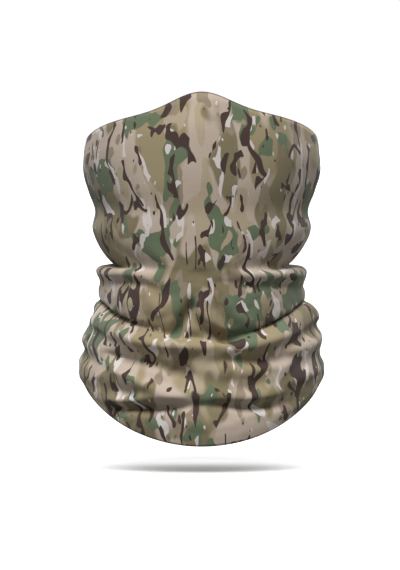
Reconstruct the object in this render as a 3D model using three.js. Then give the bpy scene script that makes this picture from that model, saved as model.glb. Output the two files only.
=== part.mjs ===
// A camouflage face mask of the tube kind: one stretch-knit tube that a head holds up, worn from
// the bridge of the nose down to the top of the chest, with its spare length gathered at the neck.
// Millimetres, +Z up. The face looks along -Y and +X is to the right of someone who faces it.
// The origin is the centre of the wearer's head at ear level.
import * as THREE from "three";
import { LoftGeometry } from "three/addons/geometries/LoftGeometry.js";
import { mergeVertices } from "three/addons/utils/BufferGeometryUtils.js";

// Driving sizes of the worn cloth
const EAR_WIDTH = 172; // across the ears, the widest level of the face part
const FACE_REACH = 104; // from the head's axis forward to the nose
const NAPE_REACH = 94; // from the head's axis back to the back of the head
const CHEST_DROP = 204; // from ear level down to the lowest point of the lower rim
const EAR_RISE = 13; // of the upper rim over ear level, at the ears
const CHEEK_RISE = 24; // more of it at the front, and less of it by as much at the back
const BRIDGE_RISE = 13; // more again on the bridge of the nose
const BRIDGE_SPREAD = 0.353; // half width of that peak, in radians round the head

// Driving sizes of the cloth and its sewing
const WALL = 1; // cloth, with its pile and small creases
const HEM_WIDTH = 8; // turned-in layer at each rim
const HEM_THICKNESS = 0.8;
const HEM_STITCH_INSET = 2; // from the raw edge of the hem to its stitch line
const SEAM_WIDTH = 7; // seam allowance inside the back seam
const SEAM_THICKNESS = 1.2; // two folded-back layers
const SEAM_STITCH_GAUGE = 4; // between the two stitch lines of the back seam
const THREAD_DIAMETER = 0.6;
const CLEARANCE = 0.3; // between pieces that touch

const PRINT_TAUPE = 0x8f8471;
const KNIT_REVERSE = 0xc9c2b4;
const THREAD_KHAKI = 0x7c7258;

// How finely the cloth is faceted
const COLUMNS = 48;
const ROWS_PER_RING = 2;
const END_ROWS = 4; // from a hem's edge to the nearest ring that has a row
const THREAD_SIDES = 6;

// The worn form, ring by ring from the upper rim down. across, ahead and behind are shares of half
// EAR_WIDTH, FACE_REACH and NAPE_REACH. side, front and back are heights as shares of CHEST_DROP.
const RINGS = [
  { name: "ears", across: 1, ahead: 1, behind: 1, side: 0, front: 0.07, back: -0.1 },
  { name: "cheeks", across: 0.95, ahead: 1, behind: 0.97, side: -0.1, front: -0.07, back: -0.15 },
  { name: "jaw hollow", across: 0.892, ahead: 0.95, behind: 0.93, side: -0.177, front: -0.186, back: -0.206 },
  { name: "jaw", across: 0.913, ahead: 0.955, behind: 0.88, side: -0.23, front: -0.275, back: -0.255 },
  { name: "under jaw", across: 0.85, ahead: 0.93, behind: 0.8, side: -0.295, front: -0.368, back: -0.3 },
  { name: "neck", across: 0.756, ahead: 0.87, behind: 0.745, side: -0.35, front: -0.44, back: -0.343 },
  { name: "collar roll", across: 0.87, ahead: 0.875, behind: 0.85, side: -0.387, front: -0.5, back: -0.387 },
  { name: "collar crease", across: 0.835, ahead: 0.83, behind: 0.81, side: -0.44, front: -0.56, back: -0.44 },
  { name: "second roll", across: 0.94, ahead: 0.87, behind: 0.88, side: -0.53, front: -0.61, back: -0.53 },
  { name: "second crease", across: 0.93, ahead: 0.84, behind: 0.84, side: -0.575, front: -0.645, back: -0.572 },
  { name: "third roll", across: 1.003, ahead: 0.945, behind: 0.92, side: -0.622, front: -0.7, back: -0.61 },
  { name: "third crease", across: 0.97, ahead: 0.88, behind: 0.87, side: -0.665, front: -0.775, back: -0.665 },
  { name: "fourth roll", across: 1.023, ahead: 0.93, behind: 0.91, side: -0.715, front: -0.88, back: -0.735 },
  { name: "lower rim", across: 0.99, ahead: 0.885, behind: 0.87, side: -0.77, front: -1, back: -0.824 },
];
const UPPER_RIM = { across: 0.977, ahead: 0.93, behind: 0.97 };
const FADE_TO_SIDES = 1.35; // how quickly front and back heights fade: 1 is a plain cosine

// Lifts off the middle surface of the cloth, outwards
const HEM_OUTER = -WALL / 2 - CLEARANCE;
const HEM_INNER = HEM_OUTER - HEM_THICKNESS;
const HEM_THREAD_LIFT = HEM_INNER - CLEARANCE - THREAD_DIAMETER / 2;
const SEAM_THREAD_LIFT = WALL / 2 + CLEARANCE + THREAD_DIAMETER / 2;

const INSET_SHARE = HEM_STITCH_INSET / HEM_WIDTH; // of a hem, from its raw edge to its stitches

// Angles run round the head from the middle of the face, and are positive towards +X.
const BACK = Math.PI;

// The share of a front or back value that counts at an angle: 1 in the middle, 0 at the sides.
function facing(angle) {
  return {
    front: Math.max(Math.cos(angle), 0) ** FADE_TO_SIDES,
    back: Math.max(-Math.cos(angle), 0) ** FADE_TO_SIDES,
  };
}

function pointOnRing(ring, angle, height) {
  const reach = Math.cos(angle) > 0 ? ring.ahead * FACE_REACH : ring.behind * NAPE_REACH;
  return new THREE.Vector3(
    (ring.across * EAR_WIDTH * Math.sin(angle)) / 2,
    -reach * Math.cos(angle),
    height,
  );
}

function upperRimHeight(angle) {
  const offCentre = Math.atan2(Math.sin(angle), Math.cos(angle));
  const peak = BRIDGE_RISE * Math.exp(-((offCentre / BRIDGE_SPREAD) ** 2));
  return EAR_RISE + CHEEK_RISE * Math.cos(angle) + peak;
}

// The cloth's middle surface at one angle: a smooth curve from the upper rim down to the lower rim.
const falls = new Map();
function fallOfCloth(angle) {
  if (!falls.has(angle)) falls.set(angle, newFall(angle));
  return falls.get(angle);
}

function newFall(angle) {
  const { front, back } = facing(angle);
  const points = [pointOnRing(UPPER_RIM, angle, upperRimHeight(angle))];
  for (const ring of RINGS) {
    const share = ring.side + (ring.front - ring.side) * front + (ring.back - ring.side) * back;
    points.push(pointOnRing(ring, angle, share * CHEST_DROP));
  }
  return new THREE.CatmullRomCurve3(points, false, "centripetal");
}

// A place on the cloth: row runs from 0 at the upper rim to 1 at the lower rim, in equal steps from
// ring to ring. The frame there has the way down the cloth, the way round it and the way out of it.
function clothFrame(angle, row) {
  const curve = fallOfCloth(angle);
  const radial = new THREE.Vector3(Math.sin(angle), -Math.cos(angle), 0);
  const down = curve.getTangent(row);
  const out = radial.clone().multiplyScalar(-down.z);
  out.z = down.dot(radial);
  out.normalize();
  return { point: curve.getPoint(row), down, out, round: new THREE.Vector3().crossVectors(out, down) };
}

function lifted(frame, lift) {
  return frame.point.clone().addScaledVector(frame.out, lift);
}

// A frame on the flat facet between two others, at a share of the way from the first to the last.
function frameBetween(first, last, share) {
  return {
    point: first.point.clone().lerp(last.point, share),
    down: last.point.clone().sub(first.point).normalize(),
    out: first.out.clone().lerp(last.out, share),
  };
}

// The row that lies a distance down the cloth from the upper rim, or up it from the lower rim.
function rowBelowUpperRim(distance, angle) {
  const curve = fallOfCloth(angle);
  return curve.getUtoTmapping(distance / curve.getLength());
}

function rowAboveLowerRim(distance, angle) {
  const curve = fallOfCloth(angle);
  return curve.getUtoTmapping(1 - distance / curve.getLength());
}

function evenRows(start, end, steps) {
  return Array.from({ length: steps }, (_, step) => start + ((end - start) * step) / steps);
}

// Every piece has its points on the same rows, so that the facets of pieces that lie on each other
// stay parallel. They are the rims, the hem edges, every ring from the cheeks down to the third
// crease, and even steps between these.
function rowsBetweenHems(angle) {
  const first = RINGS.findIndex((ring) => ring.name === "cheeks") + 1;
  const last = RINGS.findIndex((ring) => ring.name === "third crease") + 1;
  const cheeks = first / RINGS.length;
  const thirdCrease = last / RINGS.length;
  return [
    ...evenRows(rowBelowUpperRim(HEM_WIDTH, angle), cheeks, END_ROWS).slice(1),
    ...evenRows(cheeks, thirdCrease, (last - first) * ROWS_PER_RING),
    ...evenRows(thirdCrease, rowAboveLowerRim(HEM_WIDTH, angle), END_ROWS),
  ];
}

function rowsOfTube(angle) {
  const hemEdges = [rowBelowUpperRim(HEM_WIDTH, angle), rowAboveLowerRim(HEM_WIDTH, angle)];
  return [0, hemEdges[0], ...rowsBetweenHems(angle), hemEdges[1], 1];
}

function rowsOfUpperHem(angle) {
  return [0, rowBelowUpperRim(HEM_WIDTH, angle)];
}

function rowsOfLowerHem(angle) {
  return [rowAboveLowerRim(HEM_WIDTH, angle), 1];
}

// The back seam's pieces run between the hems and keep clear of them.
function rowsOfBackSeam() {
  const end = HEM_WIDTH + CLEARANCE;
  return [rowBelowUpperRim(end, BACK), ...rowsBetweenHems(BACK), rowAboveLowerRim(end, BACK)];
}

function closedMesh(name, color, sections, ends) {
  const loft = new LoftGeometry(sections, { capStart: ends, capEnd: ends });
  const loose = new THREE.BufferGeometry().setIndex(loft.index);
  const geometry = mergeVertices(loose.setAttribute("position", loft.getAttribute("position")));
  geometry.computeVertexNormals();
  const mesh = new THREE.Mesh(geometry, new THREE.MeshStandardMaterial({ color, roughness: 0.9, metalness: 0 }));
  mesh.name = name;
  return mesh;
}

// Repeats a section at every column round the head and ends on a copy of the first one.
function roundTheHead(sectionAt) {
  const sections = [];
  for (let column = 0; column < COLUMNS; column += 1) {
    sections.push(sectionAt(BACK + (2 * Math.PI * column) / COLUMNS));
  }
  sections.push(sections[0]);
  return sections;
}

// A band of cloth all the way round, between two lifts off the middle surface.
function clothBand(name, color, rowsAt, inner, outer) {
  const sections = roundTheHead((angle) => {
    const frames = rowsAt(angle).map((row) => clothFrame(angle, row));
    const outside = frames.map((frame) => lifted(frame, outer));
    const inside = frames.map((frame) => lifted(frame, inner));
    return [...outside, ...inside.reverse()];
  });
  return closedMesh(name, color, sections, false);
}

// The round section of a thread that lies along the cloth at a lift, drawn across its length.
function threadSection(frame, lift, across) {
  const radius = THREAD_DIAMETER / 2;
  const middle = lifted(frame, lift);
  return Array.from({ length: THREAD_SIDES }, (_, side) => {
    const turn = (2 * Math.PI * side) / THREAD_SIDES;
    return middle
      .clone()
      .addScaledVector(frame.out, radius * Math.cos(turn))
      .addScaledVector(across, radius * Math.sin(turn));
  });
}

// A blind hem: its stitches show on the inside only. They lie along the facets of the hem, at a share
// of the way from its higher edge to its lower one.
function hemThread(name, color, rowsAt, share) {
  const sections = roundTheHead((angle) => {
    const [higher, lower] = rowsAt(angle).map((row) => clothFrame(angle, row));
    const frame = frameBetween(higher, lower, share);
    return threadSection(frame, HEM_THREAD_LIFT, frame.down);
  });
  return closedMesh(name, color, sections, false);
}

// The frame at a sideways distance from the middle of the back.
function backFrame(row, sideways) {
  const halfAcross = clothFrame(Math.PI / 2, row).point.x;
  return clothFrame(BACK - Math.asin(sideways / halfAcross), row);
}

function backSeamThread(name, color, sideways) {
  const sections = rowsOfBackSeam().map((row) => {
    const frame = backFrame(row, sideways);
    return threadSection(frame, SEAM_THREAD_LIFT, frame.round.negate());
  });
  return closedMesh(name, color, sections, true);
}

// The seam allowance is pressed flat against the inside of the cloth. It keeps twice the clearance,
// because the cloth's facets cut the corner between two columns.
function backSeamAllowance(name, color) {
  const near = -WALL / 2 - 2 * CLEARANCE;
  const far = near - SEAM_THICKNESS;
  const sections = rowsOfBackSeam().map((row) => {
    const left = backFrame(row, -SEAM_WIDTH / 2);
    const right = backFrame(row, SEAM_WIDTH / 2);
    return [lifted(left, near), lifted(right, near), lifted(right, far), lifted(left, far)];
  });
  return closedMesh(name, color, sections, true);
}

const mask = new THREE.Group();
mask.add(
  clothBand("face_tube", PRINT_TAUPE, rowsOfTube, -WALL / 2, WALL / 2),
  clothBand("upper_hem", KNIT_REVERSE, rowsOfUpperHem, HEM_INNER, HEM_OUTER),
  clothBand("lower_hem", KNIT_REVERSE, rowsOfLowerHem, HEM_INNER, HEM_OUTER),
  hemThread("upper_hem_thread", THREAD_KHAKI, rowsOfUpperHem, 1 - INSET_SHARE),
  hemThread("lower_hem_thread", THREAD_KHAKI, rowsOfLowerHem, INSET_SHARE),
  backSeamAllowance("back_seam_allowance", KNIT_REVERSE),
  backSeamThread("back_seam_thread_left", THREAD_KHAKI, -SEAM_STITCH_GAUGE / 2),
  backSeamThread("back_seam_thread_right", THREAD_KHAKI, SEAM_STITCH_GAUGE / 2),
);

export default mask;
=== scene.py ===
"""A camouflage face mask of the tube kind, in the shape that it has on a wearer's head.

One printed stretch-knit tube, taut over the face, gathered into folds at the neck and smooth again
in its skirt, with a turned-in hem at each rim and one flat seam down the middle of the back.
"""
import math

import bmesh
import bpy
from mathutils import Matrix, Vector, noise
from mathutils.bvhtree import BVHTree


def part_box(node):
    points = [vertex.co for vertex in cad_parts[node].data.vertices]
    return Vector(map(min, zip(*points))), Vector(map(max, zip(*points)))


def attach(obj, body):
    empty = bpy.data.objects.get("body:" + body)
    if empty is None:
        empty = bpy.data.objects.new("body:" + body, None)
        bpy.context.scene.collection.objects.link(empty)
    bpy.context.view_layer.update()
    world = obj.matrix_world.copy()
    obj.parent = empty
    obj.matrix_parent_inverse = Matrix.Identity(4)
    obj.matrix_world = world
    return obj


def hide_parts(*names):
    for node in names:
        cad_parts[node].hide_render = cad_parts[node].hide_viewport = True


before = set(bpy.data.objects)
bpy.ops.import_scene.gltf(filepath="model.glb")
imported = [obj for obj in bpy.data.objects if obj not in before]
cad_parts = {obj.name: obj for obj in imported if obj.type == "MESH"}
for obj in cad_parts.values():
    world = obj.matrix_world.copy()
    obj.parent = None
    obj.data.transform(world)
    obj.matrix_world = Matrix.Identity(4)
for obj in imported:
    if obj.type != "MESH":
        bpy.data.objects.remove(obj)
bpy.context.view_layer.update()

MM = 0.001
BACK = math.pi

# ---------------------------------------------------------------- sizes of the worn cloth
TUBE_LOW, TUBE_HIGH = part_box("face_tube")
CLOTH = 0.6 * MM  # thickness of the knit
CAD_WALL = 1 * MM
WIDEST = 1.023  # the tube's widest roll, as a share of its width at the ears
HALF_EARS = (TUBE_HIGH.x - CAD_WALL / 2) / WIDEST
FACE_REACH = -TUBE_LOW.y - CAD_WALL / 2
NAPE_REACH = TUBE_HIGH.y - CAD_WALL / 2
CHEST_DROP = -TUBE_LOW.z
EAR_RISE = 13 * MM
CHEEK_RISE = 24 * MM
BRIDGE_RISE = TUBE_HIGH.z - EAR_RISE - CHEEK_RISE
BRIDGE_SPREAD = math.radians(18.5)
HEM_WIDTH = 8 * MM
STITCH_DEPTH = 6 * MM  # from a rim to its line of stitches
FLAT_ROUND = 500 * MM  # the tube's cut: round it, and down it
FLAT_DOWN = 250 * MM

COLUMNS = 288
CLOTH_UV = "cloth"  # metres round the flat cloth, and up it from the lower rim
MERGE_DISTANCE = 0.01 * MM  # closes the cloth where its two side edges meet
FRONT_FADE = 1.35  # how soon a front or back value gives way to the value at the sides


def smooth_step(x):
    """0 below 0, 1 above 1, and a soft slope between."""
    x = min(max(x, 0.0), 1.0)
    return x * x * (3 - 2 * x)


def around(angle):
    """The same angle, from -pi to pi: 0 in the middle of the face, positive towards +X."""
    return math.atan2(math.sin(angle), math.cos(angle))


def facing(angle):
    """How far a front and a back value count at an angle."""
    forward = math.cos(angle)
    return max(forward, 0) ** FRONT_FADE, max(-forward, 0) ** FRONT_FADE


# ---------------------------------------------------------------- the fall of the cloth
# One line for each ring of the cloth, from the upper rim down: its rows to the next ring, its size
# across, ahead and behind as shares of the half width at the ears, the reach of the face and the
# reach of the nape, and its height at the sides, the front and the back as shares of the chest drop.
RINGS = [
    ("upper rim", 4, 0.972, 0.925, 0.965, None, None, None),
    ("below the hem", 9, 0.994, 0.965, 0.985, 0.02, 0.135, -0.09),
    ("ears", 9, 1.0, 0.99, 1.0, -0.035, 0.06, -0.12),
    ("cheeks", 8, 0.95, 1.0, 0.97, -0.11, -0.07, -0.17),
    ("jaw hollow", 6, 0.896, 0.975, 0.93, -0.177, -0.165, -0.215),
    ("jaw", 7, 0.922, 0.962, 0.885, -0.236, -0.252, -0.255),
    ("under jaw", 7, 0.86, 0.948, 0.81, -0.302, -0.325, -0.3),
    ("neck", 4, 0.765, 0.936, 0.745, -0.353, -0.37, -0.343),
    ("collar tuck", 4, 0.80, 0.932, 0.80, -0.372, -0.386, -0.36),
    ("collar top", 4, 0.85, 0.928, 0.84, -0.385, -0.402, -0.373),
    ("collar roll", 5, 0.885, 0.924, 0.87, -0.402, -0.425, -0.39),
    ("collar crease", 8, 0.86, 0.915, 0.83, -0.43, -0.468, -0.425),
    ("cowl", 7, 0.87, 0.912, 0.855, -0.456, -0.53, -0.46),
    ("cowl lip", 4, 0.862, 0.886, 0.86, -0.48, -0.59, -0.488),
    ("swag tuck", 4, 0.86, 0.86, 0.85, -0.488, -0.61, -0.497),
    ("second roll top", 5, 0.905, 0.902, 0.86, -0.503, -0.627, -0.512),
    ("second roll", 5, 0.955, 0.938, 0.89, -0.54, -0.65, -0.545),
    ("second crease", 5, 0.945, 0.922, 0.865, -0.575, -0.69, -0.575),
    ("third roll", 6, 1.015, 0.912, 0.92, -0.622, -0.725, -0.612),
    ("third crease", 5, 0.985, 0.908, 0.885, -0.665, -0.765, -0.657),
    ("fourth roll", 8, 1.03, 0.918, 0.915, -0.70, -0.815, -0.702),
    ("long crease", 8, 1.03, 0.90, 0.893, -0.722, -0.868, -0.745),
    ("skirt", 8, 1.025, 0.91, 0.893, -0.745, -0.93, -0.785),
    ("lower rim", 0, 0.995, 0.885, 0.872, -0.77, -0.992, -0.824),
]
# Where a roll hangs over the cloth below it or stands up over the cloth above it: how much deeper
# the ring lies, as a share of its size, how much higher it is drawn, and the angles from the middle
# of the face, in degrees, where that begins and where it is in full.
TUCKS = {
    "collar tuck": (0.085, 1 * MM, 38, 78),
    "collar top": (0.0, 2.6 * MM, 38, 78),
    "collar roll": (-0.005, 1 * MM, 38, 78),
    "cowl lip": (0.0, -1.5 * MM, 22, 62),
    "swag tuck": (0.095, 3.2 * MM, 22, 62),
    "second roll top": (0.01, 0.1 * MM, 22, 62),
}
# How far the bridge of a nose, of no one's in particular, holds the cloth out below the peak.
NOSE = {"upper rim": 4 * MM, "below the hem": 6 * MM, "ears": 4 * MM, "cheeks": 1 * MM}
NOSE_SPREAD = math.radians(15)
ONE_SIDED = 1.6 * MM  # the upper rim sits this much higher on the cheek at +X
ONE_SIDED_SLOPE = 1.5  # how soon that rise is full, from the middle of the face
ROWS = sum(ring[1] for ring in RINGS)
# The rings wander a little up and down where the cloth hangs loose.
WANDER_REACH = 4 * MM
WANDER_ROUND = 1.6  # how much the wander changes round the head
WANDER_DOWN = 1.48  # and from one ring to the next
TAUT_RINGS = 6  # the cloth is taut down to this ring below the upper rim
LOOSENING_RINGS = 5  # the number of rings over which it comes loose below that
STEADY_RINGS = 4  # the number of rings over which it steadies again above the lower rim


def upper_rim_height(angle):
    """Highest over the bridge of the nose, and lowest at the back."""
    peak = BRIDGE_RISE * math.exp(-((around(angle) / BRIDGE_SPREAD) ** 2))
    askew = ONE_SIDED * smooth_step(math.sin(angle) * ONE_SIDED_SLOPE)
    return EAR_RISE + CHEEK_RISE * math.cos(angle) + peak + askew


def ring_point(ring, angle):
    """The place of a ring at an angle."""
    name, _, across, ahead, behind, side, front, back = ring
    forward, rearward = facing(angle)
    if name == "upper rim":
        height = upper_rim_height(angle)
    else:
        height = (side + (front - side) * forward + (back - side) * rearward) * CHEST_DROP
    reach = ahead * FACE_REACH if math.cos(angle) > 0 else behind * NAPE_REACH
    reach += NOSE.get(name, 0) * math.exp(-((around(angle) / NOSE_SPREAD) ** 2))
    point = Vector((across * HALF_EARS * math.sin(angle), -reach * math.cos(angle), height))
    if name in TUCKS:
        depth, rise, begins, full = TUCKS[name]
        share = smooth_step((math.degrees(abs(around(angle))) - begins) / (full - begins))
        point.xy *= 1 - depth * share
        point.z += rise * share
    return point


def between(a, b, at, start, end):
    """The place on the line from a to b that is reached at a time between start and end."""
    return a.lerp(b, (at - start) / (end - start))


def through(points, steps):
    """A smooth curve through the points, with a number of steps after each of them.

    It is a centripetal Catmull-Rom curve, which makes no loops where the points are close."""
    guides = [points[0] * 2 - points[1]] + points + [points[-1] * 2 - points[-2]]
    curve = []
    for index in range(len(points) - 1):
        p0, p1, p2, p3 = guides[index:index + 4]
        t1 = (p1 - p0).length ** 0.5
        t2 = t1 + (p2 - p1).length ** 0.5
        t3 = t2 + (p3 - p2).length ** 0.5
        for step in range(steps[index]):
            at = t1 + (t2 - t1) * step / steps[index]
            early = between(between(p0, p1, at, 0, t1), between(p1, p2, at, t1, t2), at, 0, t2)
            late = between(between(p1, p2, at, t1, t2), between(p2, p3, at, t2, t3), at, t1, t3)
            curve.append(between(early, late, at, t1, t2))
    curve.append(points[-1])
    return curve


def wander(angle, index):
    """How far a ring wanders up: slow and smooth, and closed on itself at the back."""
    loosening = smooth_step((index - TAUT_RINGS) / LOOSENING_RINGS)
    steadying = smooth_step((len(RINGS) - index) / STEADY_RINGS)
    x, y = math.cos(angle) * WANDER_ROUND, math.sin(angle) * WANDER_ROUND
    return noise.noise(Vector((x, y, index * WANDER_DOWN))) * WANDER_REACH * loosening * steadying


def fall_of_cloth(angle):
    """The points of the cloth at one angle, from the upper rim down."""
    points = []
    for index, ring in enumerate(RINGS):
        point = ring_point(ring, angle)
        point.z += wander(angle, index)
        points.append(point)
    return through(points, [ring[1] for ring in RINGS])


# ---------------------------------------------------------------- folds
# Each fold: the places that it runs through (degrees round from the middle of the face, height in
# millimetres), how far it rises (or sinks, if negative) and its half width, in millimetres. Left and
# right are as seen from straight in front: right is +X.
FRONT_FOLDS = [
    # a fork left of the middle, where the two sides of the cowl meet
    ([(-3, -95), (-6, -103), (-9, -110), (-13, -118), (-18, -126)], -9, 6.5),
    ([(-1, -93), (-2, -101), (0, -109), (3, -116)], 5, 5.5),
    ([(-1, -114), (4, -120), (10, -124), (17, -127), (23, -125)], -8, 5.5),
    ([(4, -97), (9, -106), (14, -116), (18, -122)], -2.6, 7),
    ([(10, -94), (17, -104), (24, -114), (30, -119)], 2.4, 8),
    ([(-34, -94), (-26, -104), (-19, -113)], 1.6, 9),
    # the full upper edge of the second roll
    ([(-62, -116), (-50, -121), (-36, -127), (-21, -130), (-8, -131), (7, -130)], 3.8, 5.5),
    ([(7, -130), (26, -131), (42, -126), (60, -117)], 2.8, 6),
    # hollows and slanting ridges below it, on the left of the face
    ([(-60, -135), (-48, -139), (-36, -141), (-24, -144), (-14, -149)], -8.5, 7),
    ([(-54, -143), (-44, -150), (-34, -155), (-21, -162), (-9, -166)], 5.5, 6.5),
    ([(-50, -160), (-38, -165), (-28, -169)], -3, 6),
    ([(-18, -146), (-10, -149), (-3, -155)], -8, 9),
    ([(-12, -142), (-4, -139), (2, -141)], -2, 5),
    # the level crease below the second roll, on the right of the face
    ([(-2, -144), (14, -140.5), (30, -141), (46, -140), (60, -136)], -5, 5.5),
    ([(4, -152), (22, -150), (40, -150)], 1.4, 8),
    ([(56, -128), (47, -140), (38, -158)], 2, 9),
    ([(31, -152), (26, -160), (16, -164)], -2.6, 7),
    ([(8, -168), (24, -167), (46, -164)], 2.2, 6),
    # the long crease above the skirt, which the cloth above it hangs over
    ([(-60, -179), (-45, -177), (-27, -175.5), (-13, -174), (0, -173)], -6.5, 4.5),
    ([(-56, -171), (-40, -169.5), (-20, -167.5), (-2, -166)], 4.2, 6),
    ([(-2, -173), (8, -173), (20, -174.5), (34, -174), (47, -172)], -5.4, 4.5),
    # the collar's roll, which flattens towards the chin
    ([(-68, -79), (-52, -79), (-38, -80), (-26, -82)], 2.2, 5),
    ([(-70, -87), (-52, -86), (-36, -87), (-22, -91)], -3.4, 5),
    ([(68, -79), (46, -80), (28, -80), (13, -78)], 2.2, 5),
    ([(70, -88), (48, -88), (28, -88), (11, -85)], -3.4, 5),
    # cloth that eases over the chin
    ([(-30, -60), (-22, -70), (-17, -82)], 1, 9),
    ([(25, -58), (20, -70), (19, -82)], 1, 9),
    ([(-5, -74), (2, -84), (3, -94)], -1.2, 8),
    ([(60, -56), (52, -66), (44, -72)], -1.4, 6),
    ([(-58, -55), (-50, -65), (-40, -72)], -1.4, 6),
    # the right shoulder of the cowl stands out further than the left
    ([(74, -102), (86, -111), (98, -118)], 3.2, 11),
    ([(-76, -110), (-90, -110), (-104, -111)], -3.4, 7),
    ([(-66, -154), (-86, -157), (-106, -160)], 3.2, 14),
    ([(76, -158), (90, -160), (104, -162)], 1.2, 14),
]
BACK_FOLDS = [
    ([(120, -84), (150, -100), (178, -108)], -3, 8),
    ([(-110, -88), (-140, -98), (-168, -104)], -2.6, 8),
    ([(130, -112), (160, -124), (-170, -122)], 2, 8),
    ([(-120, -116), (-150, -128), (-176, -138)], -3, 7),
    ([(105, -126), (135, -138), (165, -142)], -3, 7),
    ([(-100, -134), (-130, -140), (-158, -152)], 2, 8),
    ([(140, -152), (170, -156), (-160, -150)], -2.4, 7),
    ([(150, -40), (165, -52), (-178, -60)], -1.6, 8),
    ([(-150, -38), (-163, -50), (-176, -56)], -1.4, 8),
    ([(100, -60), (112, -68), (124, -74)], -1.4, 6),
    ([(-100, -60), (-112, -68), (-124, -74)], -1.4, 6),
]
FOLD_RADIUS = 84 * MM  # turns the angle of a fold into a distance
FOLD_SPREAD = 1.6  # how far a fold reaches, in half widths
FOLD_ROUND = 0.62  # how broad its rounded back is, in half widths
FOLD_TAPER = 0.3  # the share of its length over which each end fades
FOLD_END = 0.15  # the share of its rise that is left at its ends
SLACK_FROM = 45 * MM  # how far below the ears the cloth begins to slacken
SLACK_OVER = 60 * MM  # the height over which it does so
RIPPLE_ROUND = 3.2  # how much the small ripples change round the head
RIPPLE_HEIGHT = 16 * MM
RIPPLE_GRAIN = (0.6, 2.1, 3)  # how soft it is, how much finer each layer is, and how many there are
RIPPLE_TAUT = 0.25 * MM  # how far they lift taut cloth
RIPPLE_SLACK = 0.9 * MM  # how much further they lift slack cloth
RIM_STEADY = 14 * MM  # folds and ripples fade out over this distance from a rim
HEM_LIFT = 0.35 * MM  # how far the doubled cloth of a hem stands out
HEM_STEP = 1.2 * MM  # the width over which that begins
SMOOTHINGS = 2  # how many times the folded cloth is smoothed


def fold_track(places):
    """The places of a fold on the unrolled cloth, kept together where they cross the back."""
    start = places[0][0]
    track = []
    for degrees, height in places:
        turn = (degrees - start + 180) % 360 - 180 + start
        track.append(Vector((math.radians(turn) * FOLD_RADIUS, height * MM)))
    return track


def fold_relief(track, low, high, rise, half_width, angle, height):
    """How far a fold lifts the cloth at a place: full on its line, tapering to its ends."""
    if not low < height < high:
        return 0
    middle = track[len(track) // 2].x / FOLD_RADIUS
    place = Vector(((middle + around(angle - middle)) * FOLD_RADIUS, height))
    total = sum((b - a).length for a, b in zip(track, track[1:]))
    nearest, along = half_width * FOLD_SPREAD, 0
    walked = 0
    for a, b in zip(track, track[1:]):
        run = b - a
        share = min(max((place - a).dot(run) / run.length_squared, 0), 1)
        distance = (place - a - run * share).length
        if distance < nearest:
            nearest, along = distance, (walked + run.length * share) / total
        walked += run.length
    across = math.exp(-((nearest / (half_width * FOLD_ROUND)) ** 2))
    taper = smooth_step(along / FOLD_TAPER) * smooth_step((1 - along) / FOLD_TAPER)
    return rise * across * (FOLD_END + (1 - FOLD_END) * taper)


def made_fold(places, rise, half_width):
    """A fold in metres, with the lowest and the highest place that it reaches."""
    track = fold_track(places)
    reach = half_width * MM * FOLD_SPREAD
    heights = [place.y for place in track]
    return track, min(heights) - reach, max(heights) + reach, rise * MM, half_width * MM


FOLDS = [made_fold(*fold) for fold in FRONT_FOLDS + BACK_FOLDS]


def relief(point, angle, from_rims):
    """How far the cloth stands off its smooth fall at a place."""
    lift = sum(fold_relief(*fold, angle, point.z) for fold in FOLDS)
    slack = smooth_step((-point.z - SLACK_FROM) / SLACK_OVER)
    x, y = math.cos(angle) * RIPPLE_ROUND, math.sin(angle) * RIPPLE_ROUND
    ripple = noise.fractal(Vector((x, y, point.z / RIPPLE_HEIGHT)), *RIPPLE_GRAIN)
    lift += ripple * (RIPPLE_TAUT + RIPPLE_SLACK * slack)
    lift *= smooth_step(from_rims / RIM_STEADY)
    hem = 1 - smooth_step((from_rims - HEM_WIDTH + HEM_STEP / 2) / HEM_STEP)
    return lift + HEM_LIFT * hem


# ---------------------------------------------------------------- building helpers
def finished(name, bm, *materials):
    """Makes a bmesh an object that rides on the mask."""
    mesh = bpy.data.meshes.new(name)
    bm.to_mesh(mesh)
    bm.free()
    mesh.shade_smooth()
    piece = bpy.data.objects.new(name, mesh)
    bpy.context.scene.collection.objects.link(piece)
    for material in materials:
        mesh.materials.append(material)
    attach(piece, "root")
    return piece


def thickened(piece, thickness, inside_slot):
    """Gives a sheet its thickness, inwards."""
    solidify = piece.modifiers.new("thickness", "SOLIDIFY")
    solidify.thickness = thickness
    solidify.offset = -1
    solidify.use_even_offset = False
    solidify.material_offset = inside_slot
    solidify.material_offset_rim = 0


def cloth_grid(bm, columns, rows):
    """A flat grid that runs round in x and down in y, with its vertices by column and row."""
    bm.loops.layers.uv.new(CLOTH_UV)
    bmesh.ops.create_grid(bm, x_segments=columns, y_segments=rows, size=1, calc_uvs=True)
    places = {}
    for vertex in bm.verts:
        column = round((vertex.co.x + 1) / 2 * columns)
        row = round((1 - vertex.co.y) / 2 * rows)
        places[column, row] = vertex
    return places


def lay_on_flat_cloth(bm, places, flat_place):
    """Gives each vertex its place on the flat cloth, found from its column and row."""
    uv = bm.loops.layers.uv[CLOTH_UV]
    for key, vertex in places.items():
        for loop in vertex.link_loops:
            loop[uv].uv = flat_place(*key)


def face_outwards(bm, towards=Vector((1, 0, 0))):
    """Turns all the faces of an open sheet the same way: outwards where it reaches furthest."""
    bmesh.ops.recalc_face_normals(bm, faces=bm.faces)
    bm.normal_update()
    furthest = max(bm.faces, key=lambda face: face.calc_center_median().dot(towards))
    if furthest.normal.dot(towards) < 0:
        bmesh.ops.reverse_faces(bm, faces=bm.faces)
        bm.normal_update()


def lengths_down(points):
    """How far along a line each of its points lies."""
    lengths = [0.0]
    for a, b in zip(points, points[1:]):
        lengths.append(lengths[-1] + (b - a).length)
    return lengths


def column_angle(column):
    """The angle of a column of the cloth: both its first and its last are at the back seam."""
    return around(BACK + 2 * math.pi * column / COLUMNS)


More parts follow.
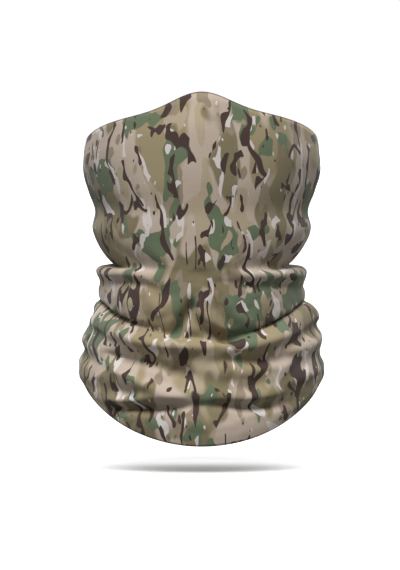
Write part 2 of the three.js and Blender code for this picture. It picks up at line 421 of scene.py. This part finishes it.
def bend_round_head(bm):
    """Bends a flat grid to the smooth fall of the cloth.

    It gives the grid's vertices by column and row, how far down the cloth each of them lies, and
    how long the cloth is in each column."""
    places = cloth_grid(bm, COLUMNS, ROWS)
    down, whole = {}, {}
    for column in range(COLUMNS + 1):
        fall = fall_of_cloth(column_angle(column))
        lengths = lengths_down(fall)
        whole[column] = lengths[-1]
        for row, point in enumerate(fall):
            places[column, row].co = point
            down[column, row] = lengths[row]
    return places, down, whole


def ways_out(places):
    """For each vertex, the way out of the cloth, half turned to the level way out of the head."""
    ways = {}
    for (column, row), vertex in places.items():
        angle = column_angle(column)
        level = Vector((math.sin(angle), -math.cos(angle), 0))
        normal = vertex.normal if vertex.normal.dot(level) > 0 else -vertex.normal
        ways[column, row] = (normal + level).normalized()
    return ways


def shape_tube(bm):
    """The whole cloth on its wearer: a grid bent round the head, folded, closed at the back."""
    places, down, whole = bend_round_head(bm)

    def flat_place(column, row):
        up = FLAT_DOWN * (1 - down[column, row] / whole[column])
        return column / COLUMNS * FLAT_ROUND, up

    lay_on_flat_cloth(bm, places, flat_place)
    bm.normal_update()
    outward = ways_out(places)
    for (column, row), vertex in places.items():
        from_rims = min(down[column, row], whole[column] - down[column, row])
        lift = relief(vertex.co, column_angle(column), from_rims)
        vertex.co += outward[column, row] * lift
    bmesh.ops.remove_doubles(bm, verts=bm.verts, dist=MERGE_DISTANCE)
    inner = [v for v in bm.verts if not v.is_boundary]
    for _ in range(SMOOTHINGS):
        bmesh.ops.smooth_vert(
            bm, verts=inner, factor=0.5, use_axis_x=True, use_axis_y=True, use_axis_z=True,
        )
    face_outwards(bm)


# ---------------------------------------------------------------- material helpers
class Graph:
    """Short calls for building a node tree."""

    def __init__(self, tree):
        self.tree = tree

    def node(self, kind, inputs=None, **settings):
        made = self.tree.nodes.new(kind)
        for key, value in settings.items():
            setattr(made, key, value)
        for key, value in (inputs or {}).items():
            self.feed(made.inputs[key], value)
        return made

    def feed(self, target, value):
        if isinstance(value, bpy.types.NodeSocket):
            self.tree.links.new(value, target)
        else:
            target.default_value = value

    def math(self, operation, a, b=0.0, c=0.0):
        return self.node("ShaderNodeMath", {0: a, 1: b, 2: c}, operation=operation).outputs[0]

    def noise(self, place, scale, detail=2.0, roughness=0.5, distortion=0.0):
        made = self.node(
            "ShaderNodeTexNoise",
            {"Vector": place, "Scale": scale, "Detail": detail, "Roughness": roughness,
             "Distortion": distortion},
        )
        return made.outputs["Fac"]

    def edge(self, value, level, softness):
        """0 below a level and 1 above it, with a soft edge."""
        made = self.node(
            "ShaderNodeMapRange",
            {"Value": value, "From Min": level - softness, "From Max": level + softness},
            interpolation_type="SMOOTHSTEP",
        )
        return made.outputs["Result"]

    def span(self, value, low, high):
        """Turns 0 to 1 into low to high."""
        made = self.node("ShaderNodeMapRange", {"Value": value, "To Min": low, "To Max": high})
        return made.outputs["Result"]

    def tint(self, color, shade):
        """A colour made lighter or darker by a shade, where 1 leaves it as it is."""
        made = self.node("ShaderNodeVectorMath", {0: color, 1: shade}, operation="MULTIPLY")
        return made.outputs[0]

    def bump(self, height, depth, strength=1.0):
        """The normal of a fine relief, from its height (0 to 1) and its depth in metres."""
        made = self.node(
            "ShaderNodeBump", {"Height": height, "Distance": depth, "Strength": strength},
        )
        return made.outputs["Normal"]

    def mix(self, share, a, b):
        """Colour a, with a share of colour b laid over it."""
        made = self.node("ShaderNodeMix", data_type="RGBA")
        self.feed(made.inputs["Factor"], share)
        self.feed(made.inputs[6], a)
        self.feed(made.inputs[7], b)
        return made.outputs[2]

    def stretched(self, place, size_round, size_down, shift):
        """Coordinates on the cloth in steps of a size round it and a size down it."""
        made = self.node(
            "ShaderNodeMapping",
            {"Vector": place, "Location": shift, "Scale": (1 / size_round, 1 / size_down, 1)},
        )
        return made.outputs[0]


def new_group(name, inputs, outputs):
    """A node group with named inputs (name, kind, value) and outputs (name, kind)."""
    tree = bpy.data.node_groups.new(name, "ShaderNodeTree")
    for title, kind, value in inputs:
        made = tree.interface.new_socket(name=title, in_out="INPUT", socket_type=kind)
        if value is not None:
            made.default_value = value
    for title, kind in outputs:
        tree.interface.new_socket(name=title, in_out="OUTPUT", socket_type=kind)
    graph = Graph(tree)
    return tree, graph, graph.node("NodeGroupInput"), graph.node("NodeGroupOutput")


def linear(red, green, blue):
    """A colour from its screen values, 0 to 255."""
    def one(value):
        value /= 255
        return value / 12.92 if value <= 0.04045 else ((value + 0.055) / 1.055) ** 2.4
    return (one(red), one(green), one(blue), 1.0)


PRINT_STEP = 1.17 * MM  # the print's own unit: a larger one makes all its shapes larger

# The print's inks
TAUPE = linear(175, 160, 145)
SAND = linear(164, 150, 127)
KHAKI = linear(143, 130, 101)
OLIVE = linear(121, 111, 84)
UMBER = linear(138, 124, 106)
GREEN = linear(95, 107, 83)
BARK = linear(66, 50, 45)
ASH = linear(198, 190, 186)

# The unprinted cloth and the thread
REVERSE = linear(206, 200, 190)
THREAD = linear(128, 116, 90)


def camouflage_group():
    """The print: soft earth grounds, lobed green leaves, dark twigs and pale lichen streaks.

    Every shape is drawn out down the cloth, as grass and bark are."""
    tree, g, given, result = new_group(
        "camouflage print",
        [("Place", "NodeSocketVector", None)],
        [("Color", "NodeSocketColor")],
    )
    place = given.outputs["Place"]
    course_spacing = 16  # from one dark stroke's course to the next, in steps of the print
    bluntness = 1.6  # how suddenly a stroke ends
    end_rounding = 0.05

    def field(size_round, size_down, shift, detail=1.0, distortion=0.3):
        """Soft noise from 0 to 1, of a size round and down the cloth in steps of the print."""
        spread = g.stretched(place, size_round * PRINT_STEP, size_down * PRINT_STEP, shift)
        return g.noise(spread, 1.0, detail, 0.45, distortion)

    def total(*parts):
        """Adds (field, weight) pairs, each about its own middle."""
        value = 0.0
        for part, weight in parts:
            value = g.math("MULTIPLY_ADD", g.math("SUBTRACT", part, 0.5), weight, value)
        return value

    def strokes(course, level, half_width, gate, open_above):
        """Strokes along a contour line of a field, broken where a gate is shut."""
        off_line = g.math("ABSOLUTE", g.math("SUBTRACT", course, level))
        body = g.math("SUBTRACT", half_width, off_line)
        room = g.math("MULTIPLY", g.math("SUBTRACT", gate, open_above), bluntness)
        return g.edge(g.math("SMOOTH_MIN", body, room, end_rounding), 0.0, 0.006)

    lobes = field(7, 12, (0.4, 0.9, 0), 0.0, 0.0)
    small_lobes = field(4, 7, (4.1, 2.7, 0), 0.0, 0.0)

    # grounds: five earth tones, some with soft edges
    ground = total((field(30, 75, (2.2, 0.6, 0)), 1.0), (lobes, 0.10))
    second = total((field(19, 50, (3.1, 1.7, 0)), 1.0), (lobes, 0.18))
    third = total((field(22, 48, (7.3, 4.2, 0)), 1.0), (lobes, 0.12))
    shadow = total((field(13, 30, (5.3, 9.2, 0)), 1.0), (small_lobes, 0.15))
    color = g.mix(g.edge(ground, 0.055, 0.03), TAUPE, KHAKI)
    color = g.mix(g.edge(second, 0.085, 0.01), color, SAND)
    color = g.mix(g.edge(third, 0.085, 0.022), color, OLIVE)
    color = g.mix(g.edge(shadow, 0.135, 0.01), color, UMBER)

    # leaves: lobed green blotches
    leaf = total((field(25, 42, (1.9, 8.4, 0)), 1.0), (lobes, 0.36), (small_lobes, 0.12))
    leaves = g.edge(leaf, 0.095, 0.008)
    color = g.mix(leaves, color, GREEN)

    # twigs: broken dark strokes that wander down the cloth, and short branches
    sway = field(36, 62, (2.2, 3.3, 0), 1.0, 0.0)
    bends = total((sway, 3.2), (lobes, 0.6), (small_lobes, 0.25))
    round_cloth = g.node("ShaderNodeSeparateXYZ", {0: place}).outputs[0]
    courses = g.math("MULTIPLY_ADD", round_cloth, 1 / (course_spacing * PRINT_STEP), bends)
    course = g.math("WRAP", courses, 1.0, 0.0)
    swelling = g.math("ADD", total((small_lobes, 0.28), (lobes, 0.2)), 0.125)
    gate = field(11, 18, (3.3, 7.4, 0), 0.0)
    dark = strokes(course, 0.5, swelling, total((gate, 0.9), (small_lobes, 0.2)), 0.005)
    branch_course = field(15, 34, (9.2, 0.3, 0), 0.0, 0.6)
    branch_gate = total((field(14, 20, (6.1, 3.6, 0), 0.0), 0.5), (small_lobes, -0.1))
    branches = strokes(branch_course, 0.47, 0.032, branch_gate, 0.05)

    # pale streaks beside the twigs, and round specks of both
    pale_gate = field(12, 15, (3.8, 9.9, 0), 0.0)
    pale = strokes(course, 0.7, swelling, total((pale_gate, 0.9), (small_lobes, 0.25)), 0.06)
    specks = g.edge(field(3.4, 6.5, (1.1, 6.6, 0), 0.0, 0.0), 0.80, 0.01)
    dark_specks = g.edge(field(3.6, 6, (7.7, 1.6, 0), 0.0, 0.0), 0.81, 0.01)
    color = g.mix(g.math("MAXIMUM", pale, specks), color, ASH)
    inked = g.math("MAXIMUM", g.math("MAXIMUM", dark, branches), dark_specks)
    color = g.mix(inked, color, BARK)

    # a trace of uneven ink
    uneven = g.noise(place, 700.0, 2.0, 0.6)
    g.feed(result.inputs["Color"], g.tint(color, g.span(uneven, 0.95, 1.05)))
    return tree


def knit_group():
    """The knit: columns of small loops down the cloth. Height is for a bump, Shade for the colour."""
    tree, g, given, result = new_group(
        "knit",
        [("Place", "NodeSocketVector", None), ("Column", "NodeSocketFloat", 0.0011),
         ("Course", "NodeSocketFloat", 0.0008)],
        [("Height", "NodeSocketFloat"), ("Shade", "NodeSocketFloat")],
    )
    split = g.node("ShaderNodeSeparateXYZ", {0: given.outputs["Place"]})
    turn = 2 * math.pi
    lean = 2.2  # how far the two sides of a loop lean into a V
    across = g.math("MULTIPLY", g.math("DIVIDE", split.outputs[0], given.outputs["Column"]), turn)
    along = g.math("MULTIPLY", g.math("DIVIDE", split.outputs[1], given.outputs["Course"]), turn)
    rib = g.math("ABSOLUTE", g.math("SINE", g.math("MULTIPLY", across, 0.5)))
    slant = g.math("MULTIPLY_ADD", rib, lean, along)
    loop = g.math("MULTIPLY_ADD", g.math("SINE", slant), 0.5, 0.5)
    # the loops make 0.55 of the height, and the height shades the cloth from 0.94 to 1.04
    height = g.math("MULTIPLY", rib, g.math("MULTIPLY_ADD", loop, 0.55, 0.45))
    g.feed(result.inputs["Height"], height)
    g.feed(result.inputs["Shade"], g.math("MULTIPLY_ADD", height, 0.10, 0.94))
    return tree


def fibre_group():
    """Loose surface fibre and lint: a fine uneven height, and patches of slightly brighter fibre."""
    tree, g, given, result = new_group(
        "surface fibre",
        [("Place", "NodeSocketVector", None), ("Scale", "NodeSocketFloat", 1400.0)],
        [("Height", "NodeSocketFloat"), ("Patch", "NodeSocketFloat")],
    )
    fine = g.noise(given.outputs["Place"], given.outputs["Scale"], 2.0, 0.6)
    patches_to_a_metre = 60.0
    broad = g.noise(given.outputs["Place"], patches_to_a_metre, 3.0, 0.6)
    g.feed(result.inputs["Height"], fine)
    g.feed(result.inputs["Patch"], broad)
    return tree


def painted_rim_shade_group():
    """A fine line of painted shade along the fold of the upper rim, darker where the fold lies in
    shade.
    """
    tree, g, given, result = new_group(
        "painted rim shade",
        [("Place", "NodeSocketVector", None), ("Rim", "NodeSocketFloat", FLAT_DOWN),
         ("Width", "NodeSocketFloat", 0.0008)],
        [("Line", "NodeSocketFloat")],
    )
    up = g.node("ShaderNodeSeparateXYZ", {0: given.outputs["Place"]}).outputs[1]
    off_rim = g.math("SUBTRACT", given.outputs["Rim"], up)
    uneven = g.noise(given.outputs["Place"], 180.0, 2.0, 0.6)
    width = g.math("MULTIPLY", given.outputs["Width"], g.math("ADD", uneven, 0.6))
    # painted shade: full at the rim's fold, fading out a little below it
    past_line = g.edge(g.math("DIVIDE", off_rim, width), 1.0, 0.35)
    g.feed(result.inputs["Line"], g.math("SUBTRACT", 1.0, past_line))
    return tree


def placed(g, group, inputs):
    """Places a node group in a material, with its own values."""
    return g.node("ShaderNodeGroup", inputs, node_tree=group)


CAMOUFLAGE = camouflage_group()
KNIT = knit_group()
FIBRE = fibre_group()
PAINTED_RIM_SHADE = painted_rim_shade_group()


def start_material(name, roughness, sheen):
    """A dull textile finish: its material, the graph to add to, and its shader."""
    material = bpy.data.materials.new(name)
    material.use_nodes = True
    g = Graph(material.node_tree)
    shader = material.node_tree.nodes["Principled BSDF"]
    shader.inputs["Roughness"].default_value = roughness
    shader.inputs["Sheen Weight"].default_value = sheen
    shader.inputs["Sheen Roughness"].default_value = 0.5
    shader.inputs["Specular IOR Level"].default_value = 0.25
    return material, g, shader


def cloth_surface(g, shader, place, color, knit_depth):
    """Lays knit and fibre over a colour."""
    fibre_share = 0.4  # how high the loose fibre stands, as a share of the loops
    knit = placed(g, KNIT, {"Place": place})
    fibre = placed(g, FIBRE, {"Place": place})
    patch = fibre.outputs["Patch"]
    shaded = g.tint(color, knit.outputs["Shade"])
    g.feed(shader.inputs["Base Color"], g.tint(shaded, g.span(patch, 0.94, 1.06)))
    g.feed(shader.inputs["Roughness"], g.span(patch, 0.78, 0.95))
    height = g.math("MULTIPLY_ADD", fibre.outputs["Height"], fibre_share, knit.outputs["Height"])
    g.feed(shader.inputs["Normal"], g.bump(height, knit_depth, 0.6))


def printed_knit_material():
    """The outside of the cloth: the print sinks into the loops."""
    material, g, shader = start_material("printed knit", roughness=0.85, sheen=0.12)
    place = g.node("ShaderNodeUVMap", uv_map=CLOTH_UV).outputs[0]
    inks = placed(g, CAMOUFLAGE, {"Place": place})
    # painted shade: a thin dark line along the fold of the upper rim, laid over the print
    line = placed(g, PAINTED_RIM_SHADE, {"Place": place}).outputs["Line"]
    rim_shade_strength = 0.7
    rim_shaded = g.mix(g.math("MULTIPLY", line, rim_shade_strength), inks.outputs["Color"], BARK)
    cloth_surface(g, shader, place, rim_shaded, knit_depth=0.12 * MM)
    return material


def knit_reverse_material():
    """The inside of the cloth: unprinted, with a ghost of the print struck through."""
    material, g, shader = start_material("knit reverse", roughness=0.9, sheen=0.15)
    place = g.node("ShaderNodeUVMap", uv_map=CLOTH_UV).outputs[0]
    inks = placed(g, CAMOUFLAGE, {"Place": place})
    struck_through = 0.22
    ghost = g.mix(struck_through, REVERSE, inks.outputs["Color"])
    cloth_surface(g, shader, place, ghost, knit_depth=0.14 * MM)
    return material


def thread_material():
    """Twisted polyester thread."""
    material, g, shader = start_material("sewing thread", roughness=0.55, sheen=0.2)
    place = g.node("ShaderNodeTexCoord").outputs["Object"]
    fibre = placed(g, FIBRE, {"Place": place, "Scale": 2600.0})
    height = fibre.outputs["Height"]
    # painted shade: the thread's colour is darker where its fibre relief is low, in the hollows of
    # its bump
    g.feed(shader.inputs["Base Color"], g.tint(THREAD[:3], g.span(height, 0.75, 1.15)))
    g.feed(shader.inputs["Normal"], g.bump(height, 0.08 * MM))
    return material


PRINTED = printed_knit_material()
PLAIN = knit_reverse_material()
SEWING = thread_material()


# ---------------------------------------------------------------- the pieces
HEM_START = 0.4 * MM  # from a rim's fold to its turned-in layer
HEM_GAP = 0.15 * MM  # between the cloth and its turned-in layer
HEM_CLOTH = CLOTH * 0.8  # a pressed layer is thinner
HEM_ROWS = 4  # of faces, from its fold to its raw edge
STITCH_PITCH = 3 * MM
STITCH_SHARE = 0.84  # of the pitch that is thread
STITCH_FLATNESS = 0.8  # a stitch's height, as a share of its breadth
THREAD_RADIUS = 0.28 * MM
THREAD_LIFT = 0.1 * MM  # from the cloth that a stitch lies on to the middle of the stitch
SEAM_HALF = 3.5 * MM  # half the width of the seam allowance
SEAM_COLUMNS = 4  # of faces, across it
SEAM_GAP = 0.3 * MM  # between the cloth and the seam allowance
SEAM_CLOTH = CLOTH * 1.4  # the sewn edges are a little thicker than the cloth
SEAM_ROW = 1.5 * MM  # the height of one row of its faces on the flat cloth
SEAM_STITCHES = 2 * MM  # from the middle of the back to a line of stitches
SEAM_ENDS = 1 * MM  # from the seam's ends to the hems


def make_tube():
    """The printed cloth, and its outside surface, which the other pieces are laid against."""
    bm = bmesh.new()
    shape_tube(bm)
    surface = BVHTree.FromBMesh(bm)
    tube = finished("printed_tube", bm, PRINTED, PLAIN)
    thickened(tube, CLOTH, 1)
    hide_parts("face_tube")
    return tube, surface


def on_cloth(surface, point, lift):
    """The nearest place on the outside of the cloth, lifted off it, with the way out."""
    place, normal, _, _ = surface.find_nearest(point)
    return place + normal * lift, normal


def rim_track(rim, distance):
    """A line round the cloth at a distance from a rim ("upper" or "lower")."""
    track = []
    for column in range(COLUMNS):
        fall = fall_of_cloth(column_angle(column))
        if rim == "lower":
            fall = fall[::-1]
        lengths = lengths_down(fall)
        index = next(i for i, length in enumerate(lengths) if length >= distance)
        before = lengths[index - 1]
        share = (distance - before) / (lengths[index] - before)
        track.append(fall[index - 1].lerp(fall[index], share))
    return track


def make_hem(name, rim, node):
    """The turned-in layer of a hem: a band of knit that lies against the inside of the tube."""
    bm = bmesh.new()
    places = cloth_grid(bm, COLUMNS, HEM_ROWS)
    for row in range(HEM_ROWS + 1):
        track = rim_track(rim, HEM_START + (HEM_WIDTH - HEM_START) * row / HEM_ROWS)
        for column in range(COLUMNS + 1):
            place, _ = on_cloth(SURFACE, track[column % COLUMNS], -CLOTH - HEM_GAP)
            places[column, row].co = place

    def flat_place(column, row):
        return column / COLUMNS * FLAT_ROUND, HEM_WIDTH * row / HEM_ROWS

    lay_on_flat_cloth(bm, places, flat_place)
    bmesh.ops.remove_doubles(bm, verts=bm.verts, dist=MERGE_DISTANCE)
    face_outwards(bm)
    hem = finished(name, bm, PLAIN)
    thickened(hem, HEM_CLOTH, 0)
    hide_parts(node)
    return hem


def stitch(bm, middle, along, out):
    """One stitch: a short, slightly flattened bead of thread, partly sunk into the cloth."""
    made = bmesh.ops.create_uvsphere(bm, u_segments=6, v_segments=5, radius=1)
    breadth = along.cross(out).normalized() * THREAD_RADIUS
    height = out * THREAD_RADIUS * STITCH_FLATNESS
    length = along * (STITCH_PITCH * STITCH_SHARE) / 2
    turn = Matrix((breadth, height, length)).transposed().to_4x4()
    bmesh.ops.transform(bm, matrix=Matrix.Translation(middle) @ turn, verts=made["verts"])


def make_stitches(name, node, track, closed):
    """A run of stitches along a track of (place, way out)."""
    bm = bmesh.new()
    if closed:
        track = track + track[:1]
    walked = 0.0
    due = STITCH_PITCH / 2
    for (a, out_a), (b, out_b) in zip(track, track[1:]):
        run = (b - a).length
        while due <= walked + run:
            share = (due - walked) / run
            out = out_a.lerp(out_b, share).normalized()
            stitch(bm, a.lerp(b, share), (b - a).normalized(), out)
            due += STITCH_PITCH
        walked += run
    bmesh.ops.recalc_face_normals(bm, faces=bm.faces)
    run_of_stitches = finished(name, bm, SEWING)
    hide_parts(node)
    return run_of_stitches


def hem_stitches(name, rim, node):
    """The stitches of a blind hem, on the inside of its turned-in layer."""
    inside = -(CLOTH + HEM_GAP + HEM_CLOTH + THREAD_LIFT)
    track = [on_cloth(SURFACE, point, inside) for point in rim_track(rim, STITCH_DEPTH)]
    return make_stitches(name, node, track, closed=True)


def back_track(sideways, lift):
    """A line down the middle of the back, a distance to one side, between the hems."""
    fall = fall_of_cloth(BACK)
    lengths = lengths_down(fall)
    past_hem = HEM_WIDTH + SEAM_ENDS
    track = []
    for point, length in zip(fall, lengths):
        if past_hem < length < lengths[-1] - past_hem:
            track.append(on_cloth(SURFACE, point + Vector((sideways, 0, 0)), lift))
    return track


def seam_stitches(name, node, sideways):
    """One line of the back seam's stitches, on the outside."""
    return make_stitches(name, node, back_track(sideways, THREAD_LIFT), closed=False)


def make_seam_allowance():
    """Both cut edges of the cloth, pressed open behind the back seam."""
    bm = bmesh.new()
    middle = back_track(0, -CLOTH - SEAM_GAP)
    places = cloth_grid(bm, SEAM_COLUMNS, len(middle) - 1)
    for row, (point, _) in enumerate(middle):
        for column in range(SEAM_COLUMNS + 1):
            sideways = SEAM_HALF * (column - SEAM_COLUMNS / 2) / (SEAM_COLUMNS / 2)
            beside, _ = on_cloth(SURFACE, point + Vector((sideways, 0, 0)), -CLOTH - SEAM_GAP)
            places[column, row].co = beside

    def flat_place(column, row):
        return column / SEAM_COLUMNS * 2 * SEAM_HALF, row * SEAM_ROW

    lay_on_flat_cloth(bm, places, flat_place)
    face_outwards(bm, towards=Vector((0, 1, 0)))
    allowance = finished("seam_allowance", bm, PLAIN)
    thickened(allowance, SEAM_CLOTH, 0)
    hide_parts("back_seam_allowance")
    return allowance


TUBE, SURFACE = make_tube()
PARTS = [
    make_hem("upper_hem_turning", "upper", "upper_hem"),
    make_hem("lower_hem_turning", "lower", "lower_hem"),
    hem_stitches("upper_hem_stitches", "upper", "upper_hem_thread"),
    hem_stitches("lower_hem_stitches", "lower", "lower_hem_thread"),
    make_seam_allowance(),
    seam_stitches("seam_stitches_left", "back_seam_thread_left", -SEAM_STITCHES),
    seam_stitches("seam_stitches_right", "back_seam_thread_right", SEAM_STITCHES),
]


# ---------------------------------------------------------------- floor, light and camera
FLOOR_REACH = 80  # metres from the middle to each edge
FLOOR_GAP = 17.5 * MM  # the mask floats this far above the floor
ROOM_WHITE = 1.05  # how bright the room is where it is seen
VIEW_DISTANCE = 5
VIEW_HEIGHT = 413 * MM
VIEW_RISE = math.radians(1.3)
VIEW_AIM = Vector((-1.2 * MM, 0, -89.5 * MM))


def two_tone_shader(material, seen, thrown):
    """A plain matt surface that is seen as one grey, and throws light about as another."""
    g = Graph(material.node_tree)
    looks = g.tree.nodes["Principled BSDF"]
    bounces = g.node("ShaderNodeBsdfDiffuse", {"Color": (thrown, thrown, thrown, 1)})
    looks.inputs["Base Color"].default_value = (seen, seen, seen, 1)
    looks.inputs["Roughness"].default_value = 0.9
    seen_directly = g.node("ShaderNodeLightPath").outputs["Is Camera Ray"]
    mixed = g.node(
        "ShaderNodeMixShader", {0: seen_directly, 1: bounces.outputs[0], 2: looks.outputs[0]},
    )
    g.feed(g.tree.nodes["Material Output"].inputs["Surface"], mixed.outputs[0])


def make_floor():
    """A wide pale floor a little below the mask."""
    bm = bmesh.new()
    bmesh.ops.create_grid(bm, x_segments=1, y_segments=1, size=FLOOR_REACH)
    bmesh.ops.translate(bm, vec=(0, 0, TUBE_LOW.z - FLOOR_GAP), verts=bm.verts)
    mesh = bpy.data.meshes.new("floor")
    bm.to_mesh(mesh)
    bm.free()
    floor = bpy.data.objects.new("floor", mesh)
    bpy.context.scene.collection.objects.link(floor)
    material = bpy.data.materials.new("studio floor")
    material.use_nodes = True
    two_tone_shader(material, seen=0.35, thrown=0.08)
    mesh.materials.append(material)
    return floor


def make_sun(name, rise, turn, softness, strength, lit):
    """A broad soft light from far off. Its rise above the floor, its turn towards +X from straight
    in front, and its softness are in degrees.

    It falls on the lit pieces only, so that the floor and the mask are lit apart."""
    lamp = bpy.data.lights.new(name, "SUN")
    lamp.angle = math.radians(softness)
    lamp.energy = strength
    light = bpy.data.objects.new(name, lamp)
    rise, turn = math.radians(rise), math.radians(turn)
    level = math.cos(rise)
    way_in = Vector((-math.sin(turn) * level, math.cos(turn) * level, -math.sin(rise)))
    light.rotation_euler = way_in.to_track_quat("-Z", "Y").to_euler()
    bpy.context.scene.collection.objects.link(light)
    receivers = bpy.data.collections.new(name + " receivers")
    for piece in lit:
        receivers.objects.link(piece)
    light.light_linking.receiver_collection = receivers


def make_world(strength):
    """An even white room: full white where it is seen, softer where it lights the cloth."""
    world = bpy.data.worlds.new("studio")
    world.use_nodes = True
    g = Graph(world.node_tree)
    background = g.tree.nodes["Background"]
    background.inputs["Color"].default_value = (1, 1, 1, 1)
    seen = g.node("ShaderNodeLightPath").outputs["Is Camera Ray"]
    brightness = g.math("MULTIPLY_ADD", seen, ROOM_WHITE - strength, strength)
    g.feed(background.inputs["Strength"], brightness)
    bpy.context.scene.world = world


def make_camera():
    """Straight in front through a long lens, with the whole mask and its shadow in view."""
    data = bpy.data.cameras.new("camera")
    data.sensor_width = 36
    data.lens = data.sensor_width * VIEW_DISTANCE / VIEW_HEIGHT
    camera = bpy.data.objects.new("camera", data)
    way_back = Vector((0, -math.cos(VIEW_RISE), math.sin(VIEW_RISE)))
    camera.location = VIEW_AIM + way_back * VIEW_DISTANCE
    camera.rotation_euler = (VIEW_AIM - camera.location).to_track_quat("-Z", "Y").to_euler()
    bpy.context.scene.collection.objects.link(camera)
    bpy.context.scene.camera = camera


MASK = [TUBE] + PARTS
FLOOR = [make_floor()]
make_world(0.28)
make_sun("key", rise=55, turn=-8, softness=30, strength=4.0, lit=MASK)
make_sun("fill from behind", rise=42, turn=168, softness=60, strength=1.9, lit=MASK)
make_sun("floor light from the front", rise=40, turn=0, softness=50, strength=7.6, lit=FLOOR)
make_sun("floor light from behind", rise=40, turn=180, softness=50, strength=3.8, lit=FLOOR)
make_sun("floor light from above", rise=90, turn=0, softness=150, strength=4.2, lit=FLOOR)
make_camera()
bpy.context.scene.view_settings.view_transform = "Standard"
